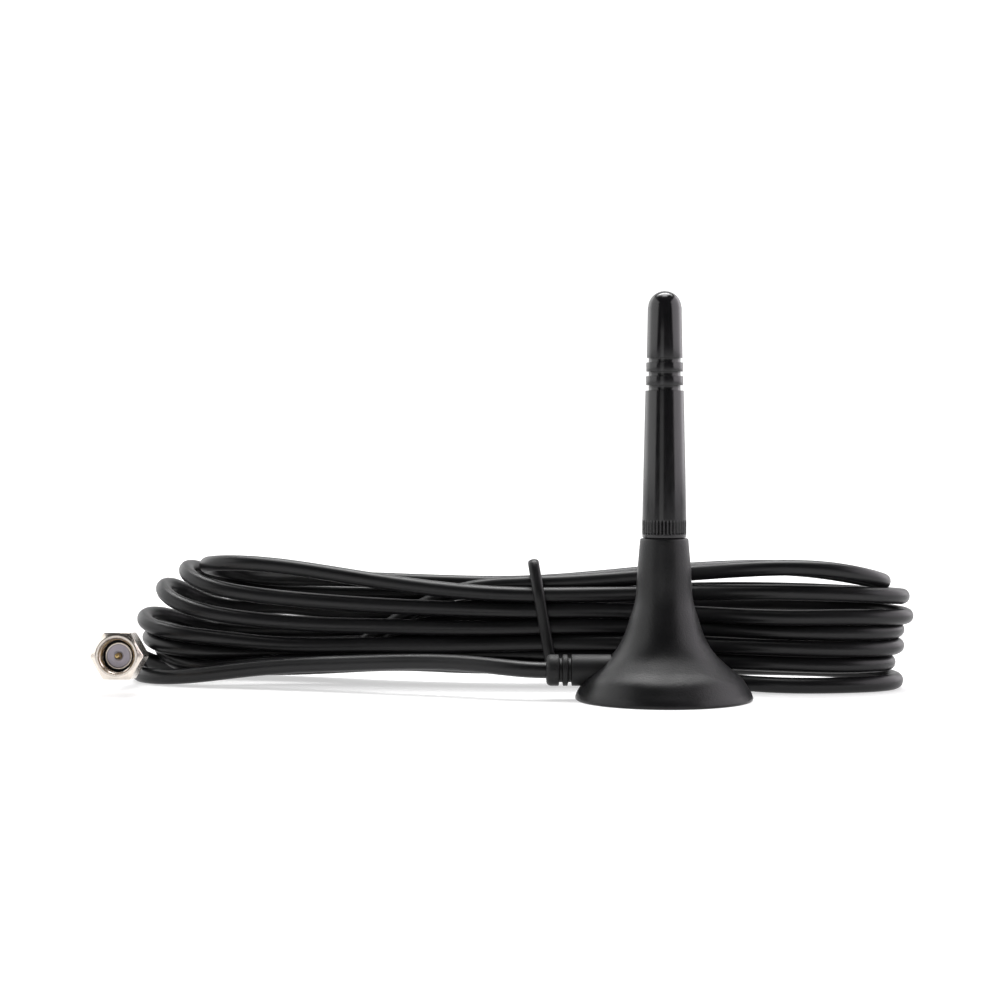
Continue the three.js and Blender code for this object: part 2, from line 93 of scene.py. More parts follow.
# The hank, in millimetres. Each turn crosses these stations along X in front and behind, and runs round an
# end loop at the right and at the left.
STATIONS = [22, 4, -10, -23, -36, -50, -64, -73]
FRONT_Y = [10.6, 15.6, 18.4, 18.6, 19.6, 21.2, 22.9]
BACK_Y = [27.2, 26.6, 25.6, 25.2, 27.0, 31.2, 36.0, 38.6]
LOOP_R = 8.3
LOOP_Y = {"right": 18.9, "left": 31.6}
TURNS = [  # from the top down: x and heights round the loops, heights in front and behind
    {"right": (40.4, [19.9, 19.0, 18.6, 19.6, 21.1]),
     "front": [21.7, 20.3, 18.9],
     "behind": [20.8, 20.2, 19.0, 18.1, 18.1, 18.4, 18.5, 18.3]},
    {"right": (44.2, [16.1, 16.1, 16.2, 16.5, 17.0]), "left": (-81.8, [21.9, 21.7, 20.9, 19.8, 18.4]),
     "front": [17.4, 17.0, 16.6, 16.4, 17.1, 18.8, 20.9],
     "behind": [16.6, 16.3, 16.1, 16.1, 16.1, 15.8, 15.8, 15.4]},
    {"right": (44.8, [13.2, 13.0, 12.7, 12.5, 12.5]), "left": (-85.7, [17.0, 18.6, 20.1, 22.0, 14.6]),
     "front": [12.8, 13.4, 13.7, 13.6, 13.9, 14.4, 15.3],
     "behind": [13.8, 13.9, 13.9, 13.9, 13.0, 11.8, 12.6, 14.5]},
    {"right": (43.3, [10.5, 10.4, 10.3, 10.3, 10.5]), "left": (-89.8, [13.2, 15.2, 16.8, 18.5, 11.8]),
     "front": [10.4, 10.8, 10.7, 10.6, 10.5, 10.7, 11.0],
     "behind": [11.1, 11.3, 11.4, 11.5, 10.9, 9.4, 8.2, 8.3]},
    {"right": (43.4, [8.0, 7.9, 7.9, 7.8, 7.8]), "left": (-93.4, [8.4, 10.0, 11.3, 13.1, 7.6]),
     "front": [7.8, 7.9, 7.9, 7.8, 7.5, 7.4, 7.0],
     "behind": [8.4, 8.5, 8.8, 8.9, 8.6, 7.5, 6.2, 6.0]},
    {"right": (41.7, [5.2, 4.8, 4.6, 4.7, 4.9]), "left": (-92.3, [5.9, 7.0, 8.3, 8.6, 6.6]),
     "front": [4.9, 5.2, 5.2, 5.4, 5.3, 5.4, 5.3],
     "behind": [5.6, 5.8, 6.0, 6.1, 6.2, 5.8, 4.4, 4.2]},
    {"right": (42.8, [2.3, 1.7, 1.4, 1.4, 1.4]), "left": (-90.2, [4.4, 5.1, 5.8, 5.6, 4.6]),
     "front": [1.4, 2.1, 3.4, 3.9, 4.2, 4.4, 4.5],
     "behind": [2.8, 3.0, 3.2, 3.4, 3.6, 3.0]},
]
# How far single stretches lie further in, in millimetres: (turn, side) to the offsets at the stations.
STAGGER = {
    (0, "front"): [0, 1.0, 1.4],
    (0, "behind"): [0, 0, 0, 0, -0.6, -1.6, -2.4, -2.4],
    (1, "behind"): [0, 1.0, 1.8, 2.2, 1.6, 0.6, 0, 0],
    (3, "front"): [1.0, 1.0, 0, 0, 0, 0, 0],
    (3, "behind"): [0, 0, 0, 0, -1.4, -1.8, -0.6, 0],
    (4, "behind"): [0, 0, 0.6, 0.6, -1.0, -3.4, -4.4, -4.4],
    (5, "front"): [0, 0.6, 0.6, 1.6, 2.4, 2.4, 2.0],
    (6, "front"): [-1.8, 0.6, 1.0, 0.2, 0.4, 0.2, 0.2],
}
# The top strand dives through the hank after the tie and comes out below as the tail.
DIVE = [(-23, 21.2, 18.2), (-32, 22.8, 17.5), (-39, 24.2, 15.4), (-45, 25.2, 12.0), (-51, 26.4, 7.9),
        (-57, 28.0, 4.6)]


def crossing(turn, side, station):
    """The guide point, in millimetres, where a turn passes a station on one side."""
    depth = (FRONT_Y if side == "front" else BACK_Y)[station]
    offsets = STAGGER.get((turn, side))
    if offsets:
        depth += offsets[station]
    return STATIONS[station], depth, TURNS[turn][side][station]


def end_loop(side, tip_x, heights):
    """Half a circle in plan, which ends in front at the right and behind at the left."""
    outward = 1 if side == "right" else -1
    points = []
    for step, height in enumerate(heights):
        angle = math.radians(45 * step)
        points.append((tip_x - outward * LOOP_R * (1 - math.sin(angle)),
                       LOOP_Y[side] + outward * LOOP_R * math.cos(angle), height))
    return points


def hank_route():
    """Guide points of the coiled stretch, from the lead at the bottom up to the top strand and down."""
    points = []
    for turn in reversed(range(len(TURNS))):
        shape = TURNS[turn]
        for station in reversed(range(len(shape["behind"]))):
            points.append(crossing(turn, "behind", station))
        points += end_loop("right", *shape["right"])
        for station in range(len(shape["front"])):
            points.append(crossing(turn, "front", station))
        if "left" in shape:
            points += end_loop("left", *shape["left"])
    return [tuple(MM * value for value in point) for point in points + DIVE]


def through(points, steps):
    """A smooth centripetal curve through points, with so many steps between each two."""
    points = np.array(points, float)
    padded = np.vstack([2 * points[0] - points[1], points, 2 * points[-1] - points[-2]])
    line = []
    for i in range(1, len(padded) - 2):
        p = padded[i - 1:i + 3]
        t = np.concatenate([[0], np.cumsum(np.sqrt(np.linalg.norm(np.diff(p, axis=0), axis=1)))])
        for at in np.linspace(t[1], t[2], steps, endpoint=False):
            q = list(p)
            for level in range(1, 4):
                for k in range(4 - level):
                    low, high = (t[k], t[k + level]) if level < 3 else (t[1], t[2])
                    q[k] = ((high - at) * q[k] + (at - low) * q[k + 1]) / (high - low)
            line.append(q[0])
    line.append(points[-1])
    return np.array(line)


def evenly(line, spacing):
    """The same line with its points about spacing apart."""
    along = np.concatenate([[0], np.cumsum(np.linalg.norm(np.diff(line, axis=0), axis=1))])
    at = np.linspace(0, along[-1], int(round(along[-1] / spacing)) + 1)
    return np.stack([np.interp(at, along, line[:, axis]) for axis in range(3)], 1)


# Outside of the foot from the neck down to the rim, as radius and height in millimetres.
FLARE = [(4.11, 26.9), (4.5, 22.2), (4.86, 17), (5.8, 13.7), (6.98, 10.4), (8.4, 8.04), (10.78, 5.68),
         (13.14, 3.74), (14.2, 2.14), (14.76, 1.2), (14.98, 0.55)]
# What the lead lies round, as height and radius in metres: the rim, the curve of the foot, the neck
# and the whip.
FOOT_CURVE = FLARE[2:9]
KEEP_OUT = MM * np.array([(0, 15), (0.8, 15), *[(z, r) for r, z in reversed(FOOT_CURVE)],
                          (27, 4.1), (28, 3.8), (69, 3.7)])


def settle(line, passes=130, spacing=2 * MM):
    """Lets the lead find its place: it straightens, lies on the surface and gives way where it crosses
    itself. Its two ends stay in the strain relief and in the plug."""
    held = 4  # points at each end that stay
    in_relief = 8  # points from the start that the base may touch
    touching = 1.015 * CABLE_D
    bending, parting = 0.075, 0.9  # shares of a bend and of an overlap that one pass takes out
    parting_only = 40  # last passes, in which the lead no longer straightens
    flank, air = 1.2 * MM, 0.3 * MM  # how far below its middle it meets the base, and the gap it keeps
    line = evenly(line, spacing)
    for turn in range(passes):
        count = len(line)
        free = np.ones((count, 1))
        free[:held] = free[-held:] = 0
        if turn < passes - parting_only:
            bend = line[2:] - 2 * line[1:-1] + line[:-2]
            force = np.zeros_like(line)
            force[1:-1] += 2 * bend
            force[2:] -= bend
            force[:-2] -= bend
            line = line + bending * force * free
        distance = np.sqrt(((line[:, None] - line[None]) ** 2).sum(-1))
        i, j = np.nonzero(distance < touching)
        apart = (j - i) * spacing > 4 * CABLE_D
        i, j = i[apart], j[apart]
        between = line[i] - line[j]
        length = np.maximum(np.linalg.norm(between, axis=1), 1e-9)
        move = ((touching - length) / length / 2)[:, None] * between
        push = np.zeros_like(line)
        share = np.zeros(count)
        np.add.at(push, i, move)
        np.add.at(push, j, -move)
        np.add.at(share, i, 1)
        np.add.at(share, j, 1)
        line = line + parting * push / np.maximum(share, 1)[:, None] * free
        radius = np.hypot(line[:, 0], line[:, 1])
        clear = np.interp(line[:, 2] - flank, KEEP_OUT[:, 0], KEEP_OUT[:, 1])
        clear += CABLE_D / 2 + air
        inside = (radius < clear) & (np.arange(count) > in_relief)
        line[inside, :2] *= (clear[inside] / radius[inside])[:, None]
        line[:, 2] = np.maximum(line[:, 2], CABLE_D / 2)
        if turn % 10 == 9 and turn < passes - 5:
            line = evenly(line, spacing)
    return line


def cable_line():
    """The lead's centreline from inside the strain relief to inside the heat-shrink sleeve."""
    guide = through(INSIDE_RELIEF + LEAD_ROUTE + hank_route() + TAIL_ROUTE + INSIDE_SHRINK, 10)
    return evenly(through(settle(guide), 3), 1 * MM)


def make_cable(line):
    """The lead as one open spline with a round section."""
    data = bpy.data.curves.new("cable", "CURVE")
    data.dimensions = "3D"
    data.bevel_depth = CABLE_D / 2
    data.bevel_resolution = 6
    data.use_fill_caps = True
    spline = data.splines.new("POLY")
    spline.points.add(len(line) - 1)
    spline.points.foreach_set("co", np.hstack([line, np.ones((len(line), 1))]).ravel())
    spline.use_smooth = True
    cable = bpy.data.objects.new("cable", data)
    bpy.context.collection.objects.link(cable)
    return cable


LINE = cable_line()
cable = make_cable(LINE)


# ---------- materials ----------
def shader(name, colour, roughness, metallic=0.0, specular=0.5):
    """A new material with its Principled BSDF, and the position on the object as its coordinates."""
    material = bpy.data.materials.new(name)
    material.use_nodes = True
    nodes = material.node_tree.nodes
    bsdf = nodes["Principled BSDF"]
    bsdf.inputs["Base Color"].default_value = (*colour, 1)
    bsdf.inputs["Roughness"].default_value = roughness
    bsdf.inputs["Metallic"].default_value = metallic
    bsdf.inputs["Specular IOR Level"].default_value = specular
    place = nodes.new("ShaderNodeTexCoord").outputs["Object"]
    return material, bsdf, place


def noise(material, place, grain, detail=3.0, stretch=(1, 1, 1)):
    """Noise whose features are about grain metres across, stretched along the axes."""
    nodes, links = material.node_tree.nodes, material.node_tree.links
    mapping = nodes.new("ShaderNodeMapping")
    mapping.inputs["Scale"].default_value = [1 / (grain * s) for s in stretch]
    links.new(place, mapping.inputs["Vector"])
    texture = nodes.new("ShaderNodeTexNoise")
    texture.inputs["Scale"].default_value = 1
    texture.inputs["Detail"].default_value = detail
    links.new(mapping.outputs["Vector"], texture.inputs["Vector"])
    return texture.outputs["Fac"]


def vary(material, value, low, high, socket):
    """Drives a socket from low to high by a value from 0 to 1."""
    spread = material.node_tree.nodes.new("ShaderNodeMapRange")
    spread.inputs["From Min"].default_value = 0.3
    spread.inputs["From Max"].default_value = 0.7
    spread.inputs["To Min"].default_value = low
    spread.inputs["To Max"].default_value = high
    material.node_tree.links.new(value, spread.inputs["Value"])
    material.node_tree.links.new(spread.outputs["Result"], socket)


def tint(material, value, dark, light, socket):
    """Blends a colour socket between two colours by a value."""
    ramp = material.node_tree.nodes.new("ShaderNodeValToRGB")
    ramp.color_ramp.elements[0].position, ramp.color_ramp.elements[1].position = 0.35, 0.65
    ramp.color_ramp.elements[0].color = (*dark, 1)
    ramp.color_ramp.elements[1].color = (*light, 1)
    material.node_tree.links.new(value, ramp.inputs["Fac"])
    material.node_tree.links.new(ramp.outputs["Color"], socket)


def bumpy(material, bsdf, layers):
    """Stacks bump layers of (value, height in metres, strength) on the shader's normal."""
    nodes, links = material.node_tree.nodes, material.node_tree.links
    normal = None
    for value, height, strength in layers:
        bump = nodes.new("ShaderNodeBump")
        bump.inputs["Distance"].default_value = height
        bump.inputs["Strength"].default_value = strength
        links.new(value, bump.inputs["Height"])
        if normal:
            links.new(normal, bump.inputs["Normal"])
        normal = bump.outputs["Normal"]
    links.new(normal, bsdf.inputs["Normal"])


def plastic(name, colour, roughness, grain, height, coarse=8 * MM, spread=0.12, specular=0.3):
    """Moulded plastic or rubber: a fine grain, patches of slightly other gloss and a faint colour drift."""
    material, bsdf, place = shader(name, colour, roughness, specular=specular)
    fine = noise(material, place, grain, 4)
    patches = noise(material, place, coarse, 2)
    bumpy(material, bsdf, [(patches, 0.02 * MM, 0.25), (fine, height, 0.6)])
    vary(material, patches, roughness - spread / 2, roughness + spread / 2, bsdf.inputs["Roughness"])
    tint(material, patches, [c * 0.85 for c in colour], [c * 1.2 for c in colour],
         bsdf.inputs["Base Color"])
    return material


def metal(name, colour, roughness, grain, stretch, worn=0.75):
    """Plated or turned metal: fine tool marks and a faint tarnish."""
    material, bsdf, place = shader(name, colour, roughness, 1.0)
    marks = noise(material, place, grain, 3, stretch)
    patches = noise(material, place, 1.5 * MM, 3)
    bumpy(material, bsdf, [(marks, 0.004 * MM, 0.5)])
    vary(material, marks, roughness * 0.7, roughness * 1.5, bsdf.inputs["Roughness"])
    tint(material, patches, [c * worn for c in colour], colour, bsdf.inputs["Base Color"])
    return material


def cable_jacket():
    """Satin flexible PVC with a soft leathery grain and long shallow waves from the braid under it."""
    material, bsdf, place = shader("cable_jacket", (0.0045, 0.0045, 0.005), 0.36, specular=0.32)
    grain = noise(material, place, 0.28 * MM, 4)
    waves = noise(material, place, 1.1 * MM, 2, (3, 1, 1))
    patches = noise(material, place, 14 * MM, 2)
    bumpy(material, bsdf, [(waves, 0.05 * MM, 0.35), (grain, 0.012 * MM, 0.45)])
    vary(material, patches, 0.31, 0.42, bsdf.inputs["Roughness"])
    tint(material, patches, (0.004, 0.004, 0.0044), (0.0055, 0.0055, 0.0062), bsdf.inputs["Base Color"])
    return material


def whip_gloss():
    """Glossy moulded plastic with a faint orange peel and a few handling marks in the gloss."""
    material, bsdf, place = shader("whip_plastic", (0.005, 0.005, 0.0055), 0.17)
    peel = noise(material, place, 1.6 * MM, 2)
    marks = noise(material, place, 0.5 * MM, 5, (1, 1, 6))
    bumpy(material, bsdf, [(peel, 0.006 * MM, 0.35)])
    vary(material, marks, 0.14, 0.22, bsdf.inputs["Roughness"])
    tint(material, peel, (0.0045, 0.0045, 0.005), (0.0065, 0.006, 0.007), bsdf.inputs["Base Color"])
    return material


def make_finishes():
    """One material for each of the record's slots."""
    return {
        "base_plastic": plastic("base_plastic", (0.0045, 0.0045, 0.005), 0.39, 0.3 * MM, 0.06 * MM),
        "whip_plastic": whip_gloss(),
        "rubber": plastic("rubber", (0.005, 0.005, 0.0052), 0.5, 0.3 * MM, 0.015 * MM),
        "cable_jacket": cable_jacket(),
        "tie_plastic": plastic("tie_plastic", (0.006, 0.006, 0.0065), 0.4, 0.25 * MM, 0.012 * MM),
        "nickel": metal("nickel", (0.78, 0.71, 0.64), 0.2, 0.12 * MM, (1, 1, 5), 0.85),
        "gold": metal("gold", (0.62, 0.45, 0.2), 0.28, 0.1 * MM, (1, 1, 4)),
        "brass": metal("brass", (0.6, 0.46, 0.22), 0.3, 0.1 * MM, (4, 4, 1)),
        "steel": metal("steel", (0.5, 0.5, 0.52), 0.36, 0.15 * MM, (6, 1, 1)),
        "magnet": plastic("magnet", (0.06, 0.06, 0.065), 0.55, 0.12 * MM, 0.01 * MM),
        "copper": metal("copper", (0.6, 0.3, 0.17), 0.33, 0.1 * MM, (1, 1, 3)),
        "insulator": plastic("insulator", (0.66, 0.62, 0.71), 0.42, 0.2 * MM, 0.004 * MM),
    }


FINISHES = make_finishes()
NODE_SLOT = {part["node"]: part["material_slot"] for part in RECORD["subparts"]}
for node, piece in frame["nodes"].items():
    for slot in piece.material_slots:
        slot.material = FINISHES[NODE_SLOT[node]]


# ---------- mesh helpers ----------
def add_mesh(name, vertices, faces):
    """A mesh object from vertices in metres and faces, shaded smooth up to 35 degrees."""
    mesh = bpy.data.meshes.new(name)
    mesh.from_pydata([tuple(v) for v in vertices], [], faces)
    cleaner = bmesh.new()
    cleaner.from_mesh(mesh)
    bmesh.ops.remove_doubles(cleaner, verts=cleaner.verts, dist=1e-7)
    bmesh.ops.dissolve_degenerate(cleaner, edges=cleaner.edges, dist=1e-7)
    bmesh.ops.recalc_face_normals(cleaner, faces=cleaner.faces)
    cleaner.to_mesh(mesh)
    cleaner.free()
    mesh.shade_smooth()
    mesh.set_sharp_from_angle(angle=math.radians(35))
    piece = bpy.data.objects.new(name, mesh)
    bpy.context.collection.objects.link(piece)
    return piece


def filleted(outline, radius, steps=4):
    """The outline in millimetres with each sharp corner rounded."""
    closed = math.dist(outline[0], outline[-1]) < 1e-9
    points = outline[:-1] if closed else outline
    count = len(points)
    rounded = []
    for i, corner in enumerate(points):
        if not closed and i in (0, count - 1):
            rounded.append(corner)
            continue
        before, here, after = Vector(points[i - 1]), Vector(corner), Vector(points[(i + 1) % count])
        a, b = before - here, after - here
        if a.length < 1e-6 or b.length < 1e-6 or a.angle(b) > math.radians(150):
            rounded.append(corner)
            continue
        reach = min(radius, 0.42 * a.length, 0.42 * b.length)
        start, end = here + reach * a.normalized(), here + reach * b.normalized()
        for step in range(steps + 1):
            t = step / steps
            rounded.append(tuple((1 - t) ** 2 * start + 2 * t * (1 - t) * here + t ** 2 * end))
    if closed:
        rounded.append(rounded[0])
    return rounded


def turned(name, outline, segments, matrix=Matrix.Identity(4), shape=None):
    """Turns an (r, z) outline in millimetres round Z. shape(r, z, angle) may change r at each point."""
    closed = math.dist(outline[0], outline[-1]) < 1e-9
    profile = outline[:-1] if closed else outline
    vertices = []
    for r, z in profile:
        for s in range(segments):
            angle = 2 * math.pi * s / segments
            radius = shape(r, z, angle) if shape else r
            vertices.append(matrix @ Vector((radius * math.cos(angle), radius * math.sin(angle), z)))
    faces = []
    rings = len(profile)
    for ring in range(rings if closed else rings - 1):
        low, high = ring * segments, ((ring + 1) % rings) * segments
        for s in range(segments):
            t = (s + 1) % segments
            faces.append((low + s, low + t, high + t, high + s))
    return add_mesh(name, vertices, faces)


def scaled(matrix=Matrix.Identity(4)):
    """A placement whose local units are millimetres."""
    return matrix @ Matrix.Scale(MM, 4)


def finish_piece(piece, body, slot, *nodes):
    """Gives a piece its material and slot, makes it ride and stand for CAD nodes."""
    piece.data.materials.append(FINISHES[slot])
    if nodes:
        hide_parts(*nodes)
    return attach(piece, body)


def arc(centre_r, centre_z, radius, start, end, steps):
    """Outline points on an arc, with angles in degrees."""
    angles = [math.radians(start + (end - start) * i / steps) for i in range(steps + 1)]
    return [(centre_r + radius * math.cos(a), centre_z + radius * math.sin(a)) for a in angles]


def rows(r_from, z_from, r_to, z_to, count):
    """Outline points evenly along a straight side."""
    return [(r_from + (r_to - r_from) * i / count, z_from + (z_to - z_from) * i / count)
            for i in range(count + 1)]


def thread(pitch, depth, bottom, top):
    """A shape for turned(): a right-hand V thread of that depth, cut inwards between two heights."""
    def cut(r, z, angle):
        if not bottom < z < top:
            return r
        phase = (z / pitch - angle / (2 * math.pi)) % 1
        fade = min(1, (z - bottom) / pitch, (top - z) / pitch)
        return r - depth * fade * (1 - abs(2 * phase - 1))
    return cut


def centre_of(node):
    """The middle of a node's box."""
    low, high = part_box(node)
    return (low + high) / 2


# ---------- base ----------
# Local Z runs along the lead's exit, to the right.
RELIEF_PLACE = scaled(Matrix.Translation((0, 0, EXIT[2])) @ Matrix.Rotation(math.radians(90), 4, "Y"))
BASE_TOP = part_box("base_housing")[1].z / MM
RIM_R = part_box("base_housing")[1].x / MM


def base_shell():
    """The flared foot: a thin moulded shell, hollow for the magnet, with a bore for the strain relief."""
    flare = [tuple(p[:2]) for p in through([(r, z, 0) for r, z in FLARE], 6)]
    outside = [(2.4, BASE_TOP), (3.8, BASE_TOP), (3.97, BASE_TOP - 0.05), (4.06, BASE_TOP - 0.18), *flare,
               (RIM_R, 0.35), (14.93, 0.15), (14.78, 0.03), (14.6, 0)]
    inside = [(13.9, 0), (13.8, 0.05), (13.8, 0.35), (11.55, 0.35), (11.55, 2.15), (9, 2.15), (8.6, 5),
              (6.7, 8), (5.4, 10.4), (4.4, 13.7), (3.35, 15.5), (3.35, 18.15), (2.95, 18.15), (2.95, 26.45),
              (2.4, 26.45), (2.4, BASE_TOP)]
    shell = turned("base_shell", outside + inside, 192, scaled())
    bore = turned("bore", [(0, -17.5), (2.7, -17.5), (2.7, -6.5), (0, -6.5)], 64, RELIEF_PLACE)
    cut = shell.modifiers.new("bore", "BOOLEAN")
    cut.object, cut.operation, cut.solver = bore, "DIFFERENCE", "EXACT"
    bpy.context.view_layer.update()
    evaluated = shell.evaluated_get(bpy.context.evaluated_depsgraph_get())
    mesh = bpy.data.meshes.new_from_object(evaluated)
    shell.modifiers.clear()
    shell.data = mesh
    bpy.data.objects.remove(bore)
    mesh.shade_smooth()
    mesh.set_sharp_from_angle(angle=math.radians(35))
    return shell


finish_piece(base_shell(), "base", "base_plastic", "base_housing")


def relief_sleeve():
    """The moulded strain relief: a round end ring, two bending grooves and a plain sleeve."""
    low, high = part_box("strain_relief")
    start, end = low.x / MM, high.x / MM
    r, groove = 2.65, 2.05
    outline = [(1.42, start + 0.1), (1.55, start), (1.95, start), (2.3, start + 0.12), (2.55, start + 0.4),
               (r, start + 0.8)]
    for at in (start + 2.1, start + 3.6):
        outline += [(r, at), (groove, at + 0.08), (groove, at + 0.62), (r, at + 0.7)]
    outline += [(r, end), (1.42, end), (1.42, start + 0.1)]
    return turned("relief_sleeve", filleted(outline, 0.14), 72, RELIEF_PLACE)


relief = finish_piece(relief_sleeve(), "base", "rubber", "strain_relief")


# ---------- whip ----------
WHIP_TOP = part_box("whip_sleeve")[1].z / MM
WHIP_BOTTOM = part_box("whip_sleeve")[0].z / MM
GRIP = {"bottom": 27.95, "top": 30.4, "ribs": 38, "depth": 0.26, "r": 3.74}
RINGS = [(55.32, 56.9, 3.11), (53.03, 54.6, 3.14)]


def knurled(r, z, angle):
    """Upright ribs round the grip band."""
    if r < 3.3 or not GRIP["bottom"] <= z <= GRIP["top"]:
        return r
    edge = min(1, (z - GRIP["bottom"]) / 0.15, (GRIP["top"] - z) / 0.15)
    wave = 0.5 + 0.5 * math.cos(GRIP["ribs"] * angle)
    return r - GRIP["depth"] * edge * (1 - wave) ** 1.5


def whip_shell():
    """Round-topped sleeve with two raised rings between grooves and a ribbed grip at its foot."""
    dome, groove, grip_r = 2.8, 2.7, GRIP["r"]
    outline = [(3.01, 57.62), (groove, 57.62)]
    for bottom, top, r in RINGS:
        outline += [(groove, top), (r, top), (r, bottom), (groove, bottom)]
    outline += [(groove, 52.18), (3.24, 52.18), (grip_r, GRIP["top"] + 0.05)]
    waist = filleted([(2.86, WHIP_TOP - dome), *outline], 0.09)
    grip = rows(grip_r, GRIP["top"], grip_r, GRIP["bottom"], 14)
    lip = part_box("seal_washer")[0].z / MM + 0.12
    foot = [(grip_r, GRIP["bottom"] - 0.1), (grip_r - 0.02, lip + 0.06), (grip_r - 0.08, lip), (3.4, lip),
            (3.4, WHIP_BOTTOM), (2.5, WHIP_BOTTOM), (2.5, 33.1), (1.95, 33.1), (1.95, 63.5), (0, 64.5)]
    top = [(0, WHIP_TOP), *arc(0, WHIP_TOP - dome, dome, 87, 4, 20)]
    return turned("whip_shell", top + waist + grip + foot, 380, scaled(), knurled)


finish_piece(whip_shell(), "whip", "whip_plastic", "whip_sleeve")


def washer_ring():
    """Rubber ring in the recess of the whip's foot."""
    low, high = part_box("seal_washer")
    bottom, top = low.z / MM, high.z / MM
    outline = [(2.1, bottom), (3.3, bottom), (3.3, top), (2.1, top), (2.1, bottom)]
    return turned("washer_ring", filleted(outline, 0.1), 96, scaled())


finish_piece(washer_ring(), "washer", "rubber", "seal_washer")


def ferrule():
    """Brass foot of the whip with its threaded stud."""
    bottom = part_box("whip_ferrule")[0].z / MM
    stud = rows(1.96, bottom + 0.4, 1.96, WHIP_BOTTOM - 0.2, 64)
    outline = [(0, bottom), (1.5, bottom), *stud, (1.96, WHIP_BOTTOM + 0.1), (2.45, WHIP_BOTTOM + 0.1),
               (2.45, 33), (1.15, 33), (1.15, 34), (0, 34)]
    return turned("ferrule", outline, 72, scaled(), thread(0.7, 0.36, bottom + 0.3, WHIP_BOTTOM - 0.2))


finish_piece(ferrule(), "whip", "brass", "whip_ferrule")


# ---------- plug ----------
# Local Z is the plug's axis, with the nut's front edge at 0 and the cable behind it.
PLUG_AT = Vector(JOINTS["nut_turn"]["pos_m"])
PLUG_AXIS = Vector(JOINTS["nut_turn"]["axis"])
PLUG = scaled(Matrix.Translation(PLUG_AT) @ Matrix.Rotation(Vector((0, 0, 1)).angle(PLUG_AXIS), 4, "X"))
FLATS, NUT_LENGTH, MATING = 8.0, 7.4, -2.6
THREAD_PITCH = 0.7056


def nut():
    """Hexagon coupling nut: turned chamfers at both ends and a threaded mouth."""
    corner = FLATS / math.sqrt(3)
    chamfer, face = 0.62, 3.6
    front = rows(face, 0, corner + 0.02, -chamfer, 12)
    back = rows(corner + 0.02, -NUT_LENGTH + chamfer, face, -NUT_LENGTH, 12)
    mouth = rows(3.05, -4.6, 3.05, -0.3, 54)
    outline = [(3.18, 0), (3.45, -0.005), *front, *rows(corner, -1, corner, 1 - NUT_LENGTH, 6), *back,
               (3.45, -NUT_LENGTH), (2.6, -NUT_LENGTH), (2.38, -NUT_LENGTH + 0.2), (2.38, -4.7), (2.5, -4.6),
               *mouth, (3.09, -0.1), (3.18, 0)]

    def hexagon(r, z, angle):
        """Cuts the flats, with the corners a little blunt, and the thread in the mouth."""
        if r > 3.5:
            across = (FLATS / 2) / math.cos(angle % (math.pi / 3) - math.pi / 6)
            return min(r, across - 0.05 * max(0, across / corner - 0.985) / 0.015)
        if 3 < r < 3.07 and -4.5 < z < -0.2:
            phase = (z / THREAD_PITCH - angle / (2 * math.pi)) % 1
            fade = min(1, (z + 4.5) / 0.4, (-0.2 - z) / 0.3)
            return r - 0.3 * fade * (1 - abs(2 * phase - 1))
        return r

    return turned("nut", outline, 288, PLUG, hexagon)


finish_piece(nut(), "plug_nut", "nickel", "coupling_nut")


def barrel():
    """Plug body: mating rim in front, a groove for the snap ring, a collar behind and the crimp stem."""
    back = -NUT_LENGTH
    outline = [(2.02, MATING), (2.3, MATING), (2.3, -5.87), (1.93, -5.87), (1.93, -6.38), (2.3, -6.38),
               (2.3, back - 0.2), (2.9, back - 0.2), (2.9, back - 2.2), (1.5, back - 2.2), (1.5, back - 8),
               (0.9, back - 8), (0.9, back - 1.2), (1.72, back - 1.2), (1.72, -5.52), (2.02, -5.52),
               (2.02, MATING)]
    return turned("barrel", filleted(outline, 0.1, 3), 96, PLUG)


def dielectric():
    """Insulating disc in the plug's mouth, faintly dished round the pin."""
    outline = [(0.72, MATING - 0.22), (0.8, MATING - 0.02), (1.0, MATING), (1.97, MATING), (1.97, -5.47),
               (1.67, -5.47), (1.67, -NUT_LENGTH - 1.1), (0.58, -NUT_LENGTH - 1.1), (0.58, MATING - 0.3),
               (0.72, MATING - 0.22)]
    return turned("dielectric", filleted(outline, 0.05, 2), 96, PLUG)


def pin():
    """Centre pin with a shoulder and a bullet nose."""
    outline = [(0, -NUT_LENGTH - 1.1), (0.55, -NUT_LENGTH - 1.1), (0.55, MATING - 0.12),
               (0.47, MATING - 0.04), (0.46, MATING + 0.1), (0.46, -1.05),
               *arc(0, -1.05, 0.46, 0, 80, 8), (0, -0.59)]
    return turned("pin", outline, 48, PLUG)


def gasket():
    """Rubber ring behind the nut's thread."""
    outline = [(2.35, -4.5), (2.85, -4.5), (2.85, -3.9), (2.35, -3.9), (2.35, -4.5)]
    return turned("gasket", filleted(outline, 0.2), 72, PLUG)


def crimp():
    """Crimped tube: the die leaves six flat faces on it."""
    back = -NUT_LENGTH
    outline = [(1.56, back - 2.3), (2.1, back - 2.3), *rows(2.1, back - 2.8, 2.1, back - 8.0, 12),
               (2.1, back - 8.4), (1.56, back - 8.4), (1.56, back - 2.3)]

    def pressed(r, z, angle):
        if r < 2 or not back - 7.6 < z < back - 2.8:
            return r
        return min(r, 1.88 / math.cos((angle + math.pi / 6) % (math.pi / 3) - math.pi / 6))

    return turned("crimp", outline, 96, PLUG, pressed)


